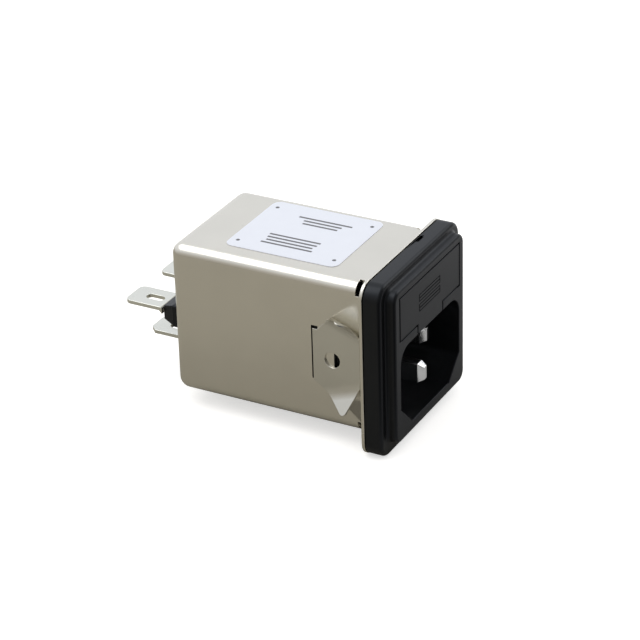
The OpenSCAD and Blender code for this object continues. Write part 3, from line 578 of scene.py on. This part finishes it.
class ModuleStage(bpy.types.PropertyGroup):
    """Camera, lights and floor."""

    azimuth: angle_property("Azimuth", "Turn of the camera away from the front", -61.178)
    elevation: angle_property("Elevation", "Height of the camera over the horizon", 28.047)
    roll: angle_property("Roll", "Tilt of the camera about its own axis", -1.7565)
    distance: length_property("Distance", "From the camera to the point it aims at", 451.406)
    aim: length_property("Aim", "Point in the middle of the picture", -5.910, 13.493, 2.740)
    lens: FloatProperty(
        name="Lens", description="Focal length in millimetres", default=139.461, unit="CAMERA")

    key: FloatProperty(
        name="Key lamp", description="Power of the large lamp above", default=1.0, subtype="POWER")
    key_at: length_property("Key place", "Place of the large lamp above", -140, 260, 530)
    key_size: length_property("Key size", "Side of the large lamp above", 420)
    fill: FloatProperty(
        name="Fill lamp", description="Power of the lamp in front", default=0.9, subtype="POWER")
    fill_at: length_property("Fill place", "Place of the lamp in front", 385, -290, 420)
    fill_size: length_property("Fill size", "Side of the lamp in front", 340)
    ambient: FloatProperty(
        name="Ambient", description="Strength of the even light from all round", default=0.76, min=0.0)

    sky: colour_property("Sky", "White that metal and glass see all round", (0.91, 0.94, 1.0))
    low_sky: colour_property("Low sky", "Tone that gloss shows of the left wall", (0.45, 0.43, 0.39))
    front_sky: colour_property("Front sky", "Tone that gloss shows of the front wall", (0.24, 0.24, 0.24))

    floor_half: length_property("Floor half", "Half of the floor's side", 1500)
    floor_glow: FloatProperty(
        name="Floor glow", description="Glow of the floor for the camera", default=0.55, min=0.0)
    floor: colour_property("Floor", "Pale floor", (0.80, 0.79, 0.77))
    floor_in_metal: colour_property(
        "Floor in metal", "Tone that metal shows of the floor beside the can", (0.365, 0.348, 0.300))
    floor_in_front: colour_property(
        "Floor in front", "Tone that metal shows of the floor before the inlet", (0.41, 0.41, 0.41))
    floor_by_camera: colour_property(
        "Floor by the camera", "Tone that gloss shows of the floor's near side", (0.06, 0.06, 0.06))


def sizes():
    return bpy.context.scene.module_sizes


def colours():
    return bpy.context.scene.module_colours


class MODULE_OT_can(bpy.types.Operator):
    """Dress the plated can"""

    bl_idname = "power_module.can"
    bl_label = "Can"

    def execute(self, context):
        plate = satin_plate("satin_nickel_can", colours().can, drawn=(1.0, 0.06, 1.0), roughness=0.23)
        dress("filter_can", plate, sizes().sheet_edge)
        return {"FINISHED"}


class MODULE_OT_springs(bpy.types.Operator):
    """Dress the two snap springs"""

    bl_idname = "power_module.springs"
    bl_label = "Snap springs"

    CURL_STEPS = 8

    def execute(self, context):
        tint = colours().spring
        plate = satin_plate("satin_nickel_spring", tint, drawn=(1.0, 1.0, 0.06), roughness=0.22)
        for node, side in (("left_snap_spring", -1), ("right_snap_spring", 1)):
            dress(
                node, plate, sizes().sheet_edge, [("Z", middle(node).z)],
                form=lambda made: self.curl(made, side, middle(node).z))
        return {"FINISHED"}

    def curl(self, made, side, centre):
        """Bends the flat wings of a spring into curls that leave its face without a crease."""
        size = sizes()
        for up, lead, run, bend in zip((1, -1), size.curl_lead, size.curl_run, size.curl_bend):
            start = Vector((side * size.fold_out, size.fold_back[0], centre + up * size.fold_back[1]))
            end = Vector((start.x, size.fold_front[0], centre + up * size.fold_front[1]))
            self.curl_wing(made, start, (end - start).normalized(), up, lead, run, bend)
        bmesh.ops.remove_doubles(made, verts=made.verts, dist=MERGE)
        bmesh.ops.dissolve_degenerate(made, edges=made.edges, dist=MERGE)

    def curl_wing(self, made, start, along, up, lead, run, bend):
        """Moves a wing's points from two planes that meet at the fold onto an arc and its tangent."""
        size = sizes()
        flat = size.fold_bend
        sheet = size.spring_sheet / 2
        radius = (lead + run) / bend
        out = Vector((math.copysign(1.0, start.x), 0.0, 0.0))
        rise = Vector((0.0, along.z, -along.y)) * up
        wing = rise * math.cos(flat) + out * math.sin(flat)
        wing_out = out * math.cos(flat) - rise * math.sin(flat)
        parting = rise * math.cos(flat / 2) + out * math.sin(flat / 2)
        for step in range(1, self.CURL_STEPS + 1):
            part_at(made, start - rise * (lead * step / self.CURL_STEPS), rise)
            part_at(made, start + wing * (run * step / self.CURL_STEPS), wing)
        for point in made.verts:
            place = point.co - start
            on_wing = place.dot(parting) > 0
            reach = place.dot(wing if on_wing else rise)
            depth = place.dot(wing_out if on_wing else out)
            if depth < 0 and math.hypot(reach, depth) < sheet + MERGE:
                reach, depth = 0.0, -sheet
            if reach > -lead:
                turn = min(reach + lead, lead + run) / radius
                past = max(0.0, reach - run)
                risen = (radius - depth) * math.sin(turn) + past * math.cos(turn) - lead
                moved = radius - (radius - depth) * math.cos(turn) + past * math.sin(turn)
                point.co = start + along * place.dot(along) + rise * risen + out * moved


class MODULE_OT_mouldings(bpy.types.Operator):
    """Dress the housing, the fuse drawer and the bushings"""

    bl_idname = "power_module.mouldings"
    bl_label = "Black mouldings"

    BACK_STEPS = 3

    def execute(self, context):
        plastic = moulded_plastic("black_moulding", colours().plastic, roughness=0.36)
        edge = sizes().moulded_edge
        halves = [("X", 0.0)]
        slots = ("line_pin", "neutral_pin", "line_in_contact", "neutral_in_contact")
        cuts = halves + [("X", middle(node).x) for node in slots]
        dress("inlet_housing", plastic, edge, cuts, form=self.ease_bezel)
        dress("fuse_drawer", plastic, edge, halves)
        for node in ("line_bushing", "neutral_bushing"):
            dress(node, plastic, edge)
        return {"FINISHED"}

    def ease_bezel(self, made):
        self.soften_step(made)
        self.ease_back(made)

    def soften_step(self, made):
        """Makes the bezel's front edge rounder and the hollow at the field's foot tighter."""
        size = sizes()
        low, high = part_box("inlet_housing")
        ledge = low.y + size.field_height
        half, bottom, top = size.field_span
        edge_was, edge_now = size.bezel_front
        foot_was, foot_now = size.field_foot
        for point in made.verts:
            rise = point.co.y - ledge
            core, arm = self.spoke(point.co, high.x, -high.z, high.z, size.bezel_corner)
            deep = size.bezel_corner - arm.length
            if -NEAR < rise < edge_was + NEAR and deep < edge_was + NEAR:
                grow = edge_now / edge_was
                point.co = core + arm.normalized() * (size.bezel_corner - deep * grow)
                point.co.y = ledge + rise * grow
                continue
            core, arm = self.spoke(point.co, half, bottom, top, size.field_corner)
            far = arm.length - size.field_corner
            if -foot_was - NEAR < rise < NEAR and -NEAR < far < foot_was + NEAR:
                grow = foot_now / foot_was
                point.co = core + arm.normalized() * (size.field_corner + far * grow)
                point.co.y = ledge + rise * grow

    def spoke(self, place, half, bottom, top, corner):
        """The nearest point of a rounded outline's inner frame, and the way from there to a place."""
        core = Vector((
            min(max(place.x, corner - half), half - corner), 0.0,
            min(max(place.z, bottom + corner), top - corner)))
        return core, Vector((place.x, 0.0, place.z)) - core

    def ease_back(self, made):
        """Rounds the bezel's back edge, so that a thin dark gap shows between it and the rim."""
        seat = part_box("filter_can")[0].y
        back = [
            edge for edge in made.edges
            if edge.is_convex and all(abs(point.co.y - seat) < NEAR for point in edge.verts)]
        if not back:
            raise RuntimeError("the bezel's back edge was not found")
        round_edges(made, back, sizes().bezel_back, self.BACK_STEPS)


class MODULE_OT_fuse_mark(bpy.types.Operator):
    """Put the fuse mark on the drawer's front"""

    bl_idname = "power_module.fuse_mark"
    bl_label = "Fuse mark"

    # painted shade: the mark's ribs are darker and less shiny than the drawer, standing in for the shade
    # along them
    SHADE = 0.3  # the mark's colour as a share of the drawer's
    RIB_SIDES = 8

    def execute(self, context):
        size = sizes()
        shaded = [self.SHADE * channel for channel in colours().plastic]
        plastic = moulded_plastic("fuse_mark_moulding", shaded, roughness=0.60, shine=0.02)
        low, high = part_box("fuse_drawer")
        place = Vector((
            (low.x + high.x) / 2 + size.mark_at[0], low.y + size.mark_line / 4, high.z + size.mark_at[1]))
        mark = self.fuses(plastic).piece(
            "drawer_fuse_mark", Width=size.mark_size[0], Height=size.mark_size[1],
            Pitch=size.mark_pitch, Line=size.mark_line, Place=place)
        settle(mark, "fuse_drawer")
        return {"FINISHED"}

    def fuses(self, plastic):
        """Two boxes with a line through each, as ribs on an upright face."""
        shape = Shape("fuse_mark", Width=float, Height=float, Pitch=float, Line=float, Place=Vector)
        box = shape.node(
            "GeometryNodeCurvePrimitiveQuadrilateral",
            inputs={"Width": shape.size("Width"), "Height": shape.size("Height")})
        reach = shape.size("Width") / 2
        through = shape.node(
            "GeometryNodeCurvePrimitiveLine",
            inputs={"Start": shape.vector(x=reach * -1), "End": shape.vector(x=reach)})
        rows = shape.node(
            "GeometryNodeMeshLine", {"mode": "OFFSET"},
            {"Count": 2, "Start Location": shape.vector(y=shape.size("Pitch") / -2),
             "Offset": shape.vector(y=shape.size("Pitch"))})
        pair = shape.node(
            "GeometryNodeInstanceOnPoints", inputs={"Points": rows, "Instance": shape.join(box, through)})
        lines = shape.node("GeometryNodeRealizeInstances", inputs={"Geometry": pair})
        ribs = shape.tube(lines, shape.size("Line"), self.RIB_SIDES)
        shape.close(ribs, plastic, turn=(math.pi / 2, 0.0, 0.0))
        return shape


class MODULE_OT_blades(bpy.types.Operator):
    """Dress the inlet pins, the blade terminals and the earth rivet"""

    bl_idname = "power_module.blades"
    bl_label = "Pins and blades"

    DRAWN = (1.0, 0.08, 1.0)

    def execute(self, context):
        bright = satin_plate("bright_tin", colours().pin, self.DRAWN, roughness=0.13)
        for node in ("earth_pin", "line_pin", "neutral_pin"):
            dress(node, bright, sizes().blade_edge, sharp=FACETED)
        plate = satin_plate("tin_plate", colours().tin, self.DRAWN, roughness=0.30)
        for node in ("line_tab", "neutral_tab", "earth_tab", "earth_rivet"):
            dress(node, plate, sizes().blade_edge)
        return {"FINISHED"}


class MODULE_OT_label(bpy.types.Operator):
    """Dress the label and print plain dots and rules on it"""

    bl_idname = "power_module.label"
    bl_label = "Label"

    DOT_SIDES = 20
    BLOCKS = (("near", 4, 3), ("far", 3, 8))  # name, number of rules and seed of their lengths

    def execute(self, context):
        size = sizes()
        dress("label", label_film("coated_film", colours().label), size.label_edge)
        ink = printed_ink("grey_print", colours().ink)
        low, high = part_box("label")
        face = middle("label")
        face.z = high.z
        dots = self.dots(ink).piece(
            "label_dots", Radius=size.dot_radius, Height=size.ink_height, Place=face,
            Across=high.x - low.x - 2 * size.dot_inset[0], Along=high.y - low.y - 2 * size.dot_inset[1])
        settle(dots, "label")
        rules = self.rules(ink)
        for (name, count, seed), offset in zip(self.BLOCKS, (size.rules_near, size.rules_far)):
            block = rules.piece(
                f"label_rules_{name}", Count=count, Pitch=size.rule_pitch, Width=size.rule_width,
                Shortest=size.rule_short, Longest=size.rule_long, Height=size.ink_height,
                Seed=seed, Place=face + Vector((*offset, 0.0)))
            settle(block, "label")
        return {"FINISHED"}

    def dots(self, ink):
        """Four flat discs on the corners of a rectangle."""
        shape = Shape("corner_dots", Radius=float, Height=float, Across=float, Along=float, Place=Vector)
        corners = shape.node(
            "GeometryNodeMeshGrid",
            inputs={"Size X": shape.size("Across"), "Size Y": shape.size("Along"),
                    "Vertices X": 2, "Vertices Y": 2})
        dot = shape.node(
            "GeometryNodeMeshCylinder",
            inputs={"Vertices": self.DOT_SIDES, "Radius": shape.size("Radius"),
                    "Depth": shape.size("Height") * 2})
        spread = shape.node("GeometryNodeInstanceOnPoints", inputs={"Points": corners, "Instance": dot})
        shape.close(spread, ink)
        return shape

    def rules(self, ink):
        """A block of flat bars whose lengths are drawn at random."""
        shape = Shape(
            "printed_rules", Count=int, Pitch=float, Width=float, Shortest=float, Longest=float,
            Height=float, Seed=int, Place=Vector)
        rows = shape.node(
            "GeometryNodeMeshLine", {"mode": "OFFSET"},
            {"Count": shape.size("Count"), "Offset": shape.vector(x=shape.size("Pitch"))})
        bar = shape.node(
            "GeometryNodeMeshCube",
            inputs={"Size": shape.vector(shape.size("Width"), 1.0, shape.size("Height") * 2)})
        length = shape.node(
            "FunctionNodeRandomValue", {"data_type": "FLOAT"},
            {2: shape.size("Shortest"), 3: shape.size("Longest"), "Seed": shape.size("Seed")}, output=1)
        spread = shape.node(
            "GeometryNodeInstanceOnPoints",
            inputs={"Points": rows, "Instance": bar, "Scale": shape.vector(1.0, length, 1.0)})
        shape.close(spread, ink)
        return shape


class MODULE_OT_fuses(bpy.types.Operator):
    """Dress the two fuses and their contacts"""

    bl_idname = "power_module.fuses"
    bl_label = "Fuses and contacts"

    def execute(self, context):
        tint = colours()
        glass = clear_glass("fuse_glass", tint.glass, tint.dusty_glass)
        cap = satin_plate("fuse_nickel", tint.cap, drawn=(0.1, 1.0, 1.0), roughness=0.24)
        brass = satin_plate("contact_brass", tint.brass, drawn=(1.0, 0.1, 1.0), roughness=0.30)
        for place in ("front", "rear"):
            dress(f"{place}_fuse_tube", glass, sizes().small_edge)
            paint(f"{place}_fuse_wire", cap)
            for side in ("left", "right"):
                dress(f"{place}_fuse_{side}_cap", cap, sizes().small_edge)
        for pole in ("line", "neutral"):
            for way in ("in", "out"):
                dress(f"{pole}_{way}_contact", brass, sizes().small_edge)
        return {"FINISHED"}


class MODULE_OT_filter(bpy.types.Operator):
    """Dress the filter board and the parts on it"""

    bl_idname = "power_module.filter"
    bl_label = "Filter parts"

    BANDS = ((0.18, 0.05, 0.02), (0.01, 0.01, 0.01), (0.35, 0.03, 0.02), (0.50, 0.33, 0.06))

    def execute(self, context):
        tint = colours()
        discs = ("line_y_capacitor", "neutral_y_capacitor")
        resins = (
            (("filter_board",), "board_laminate", tint.board, 0.55, 0.5, 3000),
            (("choke_base",), "choke_base_plastic", tint.choke_plastic, 0.50, 0.2, 5000),
            (("choke_core",), "ferrite_lacquer", tint.ferrite, 0.30, 0.4, 2500),
            (("x_capacitor",), "capacitor_box", tint.box_capacitor, 0.45, 0.2, 5200),
            (discs, "capacitor_resin", tint.disc_capacitor, 0.25, 0.3, 1800),
        )
        for nodes, name, colour, roughness, spots, grain in resins:
            resin = plain_resin(name, colour, roughness, spots, grain)
            for node in nodes:
                dress(node, resin, sizes().small_edge)
        lacquer = banded_resistor(
            "resistor_lacquer", tint.resistor, self.BANDS, middle("bleed_resistor").x,
            sizes().band_pitch, sizes().band_width)
        paint("bleed_resistor", lacquer)
        return {"FINISHED"}


class MODULE_OT_windings(bpy.types.Operator):
    """Wind the choke's two coils round its core"""

    bl_idname = "power_module.windings"
    bl_label = "Windings"

    STEPS = 28  # points along one turn
    WIRE_SIDES = 10
    SQUARENESS = 0.45  # one is a round turn, nought a square one

    def execute(self, context):
        size = sizes()
        enamel = satin_plate("copper_enamel", colours().copper, drawn=(1.0, 1.0, 0.2), roughness=0.28)
        shape = self.coil(enamel)
        low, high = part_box("choke_core")
        clear = size.coil_gap + size.coil_wire / 2
        for node, side in (("line_winding", 0.0), ("neutral_winding", math.pi)):
            coil = shape.piece(
                f"{node}_wire", Turns=size.coil_turns, Wire=size.coil_wire, Sweep=size.coil_sweep,
                Start=side - size.coil_sweep / 2, Ring=size.core_ring, Reach=size.core_half + clear,
                Rise=(high.z - low.z) / 2 + clear, Place=middle("choke_core"))
            settle(coil, node)
            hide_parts(node)
        return {"FINISHED"}

    def coil(self, enamel):
        """A wire wound round part of a ring."""
        shape = Shape(
            "toroid_coil", Turns=int, Wire=float, Sweep=float, Start=float, Ring=float, Reach=float,
            Rise=float, Place=Vector)
        count = shape.size("Turns") * self.STEPS
        thread = shape.node(
            "GeometryNodeResampleCurve", {"mode": "COUNT"},
            {"Curve": shape.node("GeometryNodeCurvePrimitiveLine"), "Count": count})
        share = shape.node("GeometryNodeSplineParameter", output="Factor")
        turn = shape.size("Start") + shape.size("Sweep") * share
        around = share * shape.size("Turns") * (2 * math.pi)
        out = shape.size("Ring") + shape.size("Reach") * self.squared(shape, "COSINE", around)
        up = shape.size("Rise") * self.squared(shape, "SINE", around)
        spot = shape.vector(out * shape.math("COSINE", turn), out * shape.math("SINE", turn), up)
        wound = shape.node("GeometryNodeSetPosition", inputs={"Geometry": thread, "Position": spot})
        shape.close(shape.tube(wound, shape.size("Wire"), self.WIRE_SIDES, caps=True), enamel)
        return shape

    def squared(self, shape, wave, around):
        """A wave with flattened tops, so that the wire follows the core's flat sides."""
        value = shape.math(wave, around)
        return shape.math("SIGN", value) * abs(value) ** self.SQUARENESS


class MODULE_OT_wires(bpy.types.Operator):
    """Dress the wires and the earth strap"""

    bl_idname = "power_module.wires"
    bl_label = "Wires and strap"

    def execute(self, context):
        tint = colours()
        brown = plain_resin("brown_insulation", tint.link, roughness=0.42, spots=0.2, grain=4000)
        blue = plain_resin("blue_insulation", tint.lead, roughness=0.42, spots=0.2, grain=4000)
        for pole in ("line", "neutral"):
            paint(f"{pole}_link", brown)
            paint(f"{pole}_lead", blue)
        tin = satin_plate("strap_tin", tint.tin, drawn=(1.0, 1.0, 0.1), roughness=0.34)
        dress("earth_strap", tin, sizes().small_edge)
        return {"FINISHED"}


class MODULE_OT_stage(bpy.types.Operator):
    """Set up the floor, the lights and the camera"""

    bl_idname = "power_module.stage"
    bl_label = "Stage"

    # What gloss shows of the room: the way along which it gets lighter, and where its tones change.
    SKY_RISE = (0.5, 0.0, 0.87)
    SKY_FADE = (-0.45, 0.35)
    FRONT_FADE = (-0.10, -0.45)
    # Places across and along the floor between which its tones in gloss change.
    FLOOR_FRONT = (-3 * MM, -10 * MM)
    FLOOR_LEFT = (-18 * MM, -26 * MM)
    FLOOR_NEAR = (-9 * MM, -16 * MM)
    FLOOR_FAR = (50 * MM, 130 * MM)
    SENSOR = 36.0  # millimetres
    NEAREST = 10 * MM  # what is closer to the camera isn't drawn

    def execute(self, context):
        stage = context.scene.module_stage
        self.white_room(stage)
        self.floor(stage)
        self.camera(stage)
        self.softbox("key_lamp", stage.key_at, stage.key_size, stage.key)
        self.softbox("fill_lamp", stage.fill_at, stage.fill_size, stage.fill)
        context.scene.view_settings.view_transform = "Standard"
        return {"FINISHED"}

    def white_room(self, stage):
        """White for the camera, even light for the module, and a shaded room for gloss and glass."""
        world = bpy.data.worlds.new("white_room")
        bpy.context.scene.world = world
        world.use_nodes = True
        world.node_tree.nodes.clear()
        graph = Graph(world.node_tree)
        path = graph.node("ShaderNodeLightPath", output="Is Camera Ray")
        mirrored = graph.math("MAXIMUM", path.output("Is Glossy Ray"), path.output("Is Transmission Ray"))
        way = graph.node("ShaderNodeTexCoord", output="Generated")
        ahead = graph.node("ShaderNodeSeparateXYZ", inputs={0: way}, output="Y")
        height = graph.node(
            "ShaderNodeVectorMath", {"operation": "DOT_PRODUCT"}, {0: way, 1: self.SKY_RISE}, output=1)
        tone = graph.tint(graph.fade(height, *self.SKY_FADE), shade(stage.low_sky), shade(stage.sky))
        tone = graph.tint(graph.fade(ahead, *self.FRONT_FADE), tone, shade(stage.front_sky))
        soft = self.background(graph, WHITE, stage.ambient)
        seen = graph.mix(mirrored, soft, self.background(graph, tone, 1.0))
        seen = graph.mix(path, seen, self.background(graph, WHITE, 1.0))
        graph.show("ShaderNodeOutputWorld", seen)

    def background(self, graph, colour, strength):
        return graph.node("ShaderNodeBackground", inputs={"Color": colour, "Strength": strength})

    def floor(self, stage):
        """A pale floor that is white for the camera, keeps the shadow and has toned places in gloss."""
        low = CAD_BOX[0].z
        half = stage.floor_half
        corners = [(x * half, y * half, low) for x, y in ((-1, -1), (1, -1), (1, 1), (-1, 1))]
        mesh = bpy.data.meshes.new("floor")
        mesh.from_pydata(corners, [], [(0, 1, 2, 3)])
        floor = new_object("floor", mesh)
        material = bpy.data.materials.new("pale_floor")
        material.use_nodes = True
        material.node_tree.nodes.clear()
        graph = Graph(material.node_tree)
        path = graph.node("ShaderNodeLightPath", output="Is Camera Ray")
        place = graph.node("ShaderNodeTexCoord", output="Object")
        across = graph.node("ShaderNodeSeparateXYZ", inputs={0: place}, output="X")
        along = across.output("Y")
        by_camera = graph.fade(across, *self.FLOOR_LEFT) * graph.fade(along, *self.FLOOR_NEAR)
        in_front = graph.fade(along, *self.FLOOR_FRONT)
        tone = graph.tint(in_front, shade(stage.floor_in_metal), shade(stage.floor_in_front))
        tone = graph.tint(by_camera, tone, shade(stage.floor_by_camera))
        tone = graph.tint(graph.fade(across, *self.FLOOR_FAR), tone, WHITE)
        toned = graph.node("ShaderNodeBsdfDiffuse", inputs={"Color": tone})
        pale = graph.node("ShaderNodeBsdfDiffuse", inputs={"Color": shade(stage.floor)})
        glow = graph.node("ShaderNodeEmission", inputs={"Color": WHITE, "Strength": stage.floor_glow})
        white = graph.node("ShaderNodeAddShader", inputs={0: pale, 1: glow})
        direct = graph.math("MAXIMUM", path, path.output("Is Transmission Ray"))
        seen = graph.mix(direct, graph.mix(path.output("Is Glossy Ray"), pale, toned), white)
        graph.show("ShaderNodeOutputMaterial", seen)
        mesh.materials.append(material)

    def camera(self, stage):
        """A camera that looks at the aim point from its azimuth, elevation and distance."""
        data = bpy.data.cameras.new("camera")
        data.lens = stage.lens
        data.sensor_width = self.SENSOR
        data.clip_start = self.NEAREST
        turn = (
            Matrix.Rotation(stage.azimuth, 3, "Z")
            @ Matrix.Rotation(math.pi / 2 - stage.elevation, 3, "X")
            @ Matrix.Rotation(stage.roll, 3, "Z"))
        camera = new_object("camera", data)
        camera.location = Vector(stage.aim) + turn @ Vector((0.0, 0.0, stage.distance))
        camera.rotation_euler = turn.to_euler()
        bpy.context.scene.camera = camera

    def softbox(self, name, place, size, power):
        """A square lamp that faces the module."""
        data = bpy.data.lights.new(name, "AREA")
        data.shape = "SQUARE"
        data.size = size
        data.energy = power
        lamp = new_object(name, data)
        lamp.location = place
        lamp.rotation_euler = (-Vector(place)).to_track_quat("-Z", "Y").to_euler()


OPERATORS = (
    MODULE_OT_stage, MODULE_OT_can, MODULE_OT_springs, MODULE_OT_mouldings, MODULE_OT_fuse_mark,
    MODULE_OT_blades, MODULE_OT_label, MODULE_OT_fuses, MODULE_OT_filter, MODULE_OT_windings,
    MODULE_OT_wires,
)


class MODULE_PT_looks(bpy.types.Panel):
    """Lists the steps that dress the module"""

    bl_idname = "MODULE_PT_looks"
    bl_label = "Power module"
    bl_space_type = "VIEW_3D"
    bl_region_type = "UI"
    bl_category = "Power module"

    def draw(self, context):
        for operator in OPERATORS:
            self.layout.operator(operator.bl_idname)


CLASSES = (ModuleSizes, ModuleColours, ModuleStage, *OPERATORS, MODULE_PT_looks)


def register():
    for known in CLASSES:
        bpy.utils.register_class(known)
    bpy.types.Scene.module_sizes = PointerProperty(type=ModuleSizes)
    bpy.types.Scene.module_colours = PointerProperty(type=ModuleColours)
    bpy.types.Scene.module_stage = PointerProperty(type=ModuleStage)


def unregister():
    del bpy.types.Scene.module_sizes
    del bpy.types.Scene.module_colours
    del bpy.types.Scene.module_stage
    for known in reversed(CLASSES):
        bpy.utils.unregister_class(known)


def main():
    register()
    for operator in OPERATORS:
        group, name = operator.bl_idname.split(".")
        getattr(getattr(bpy.ops, group), name)()


if __name__ == "__main__":
    main()
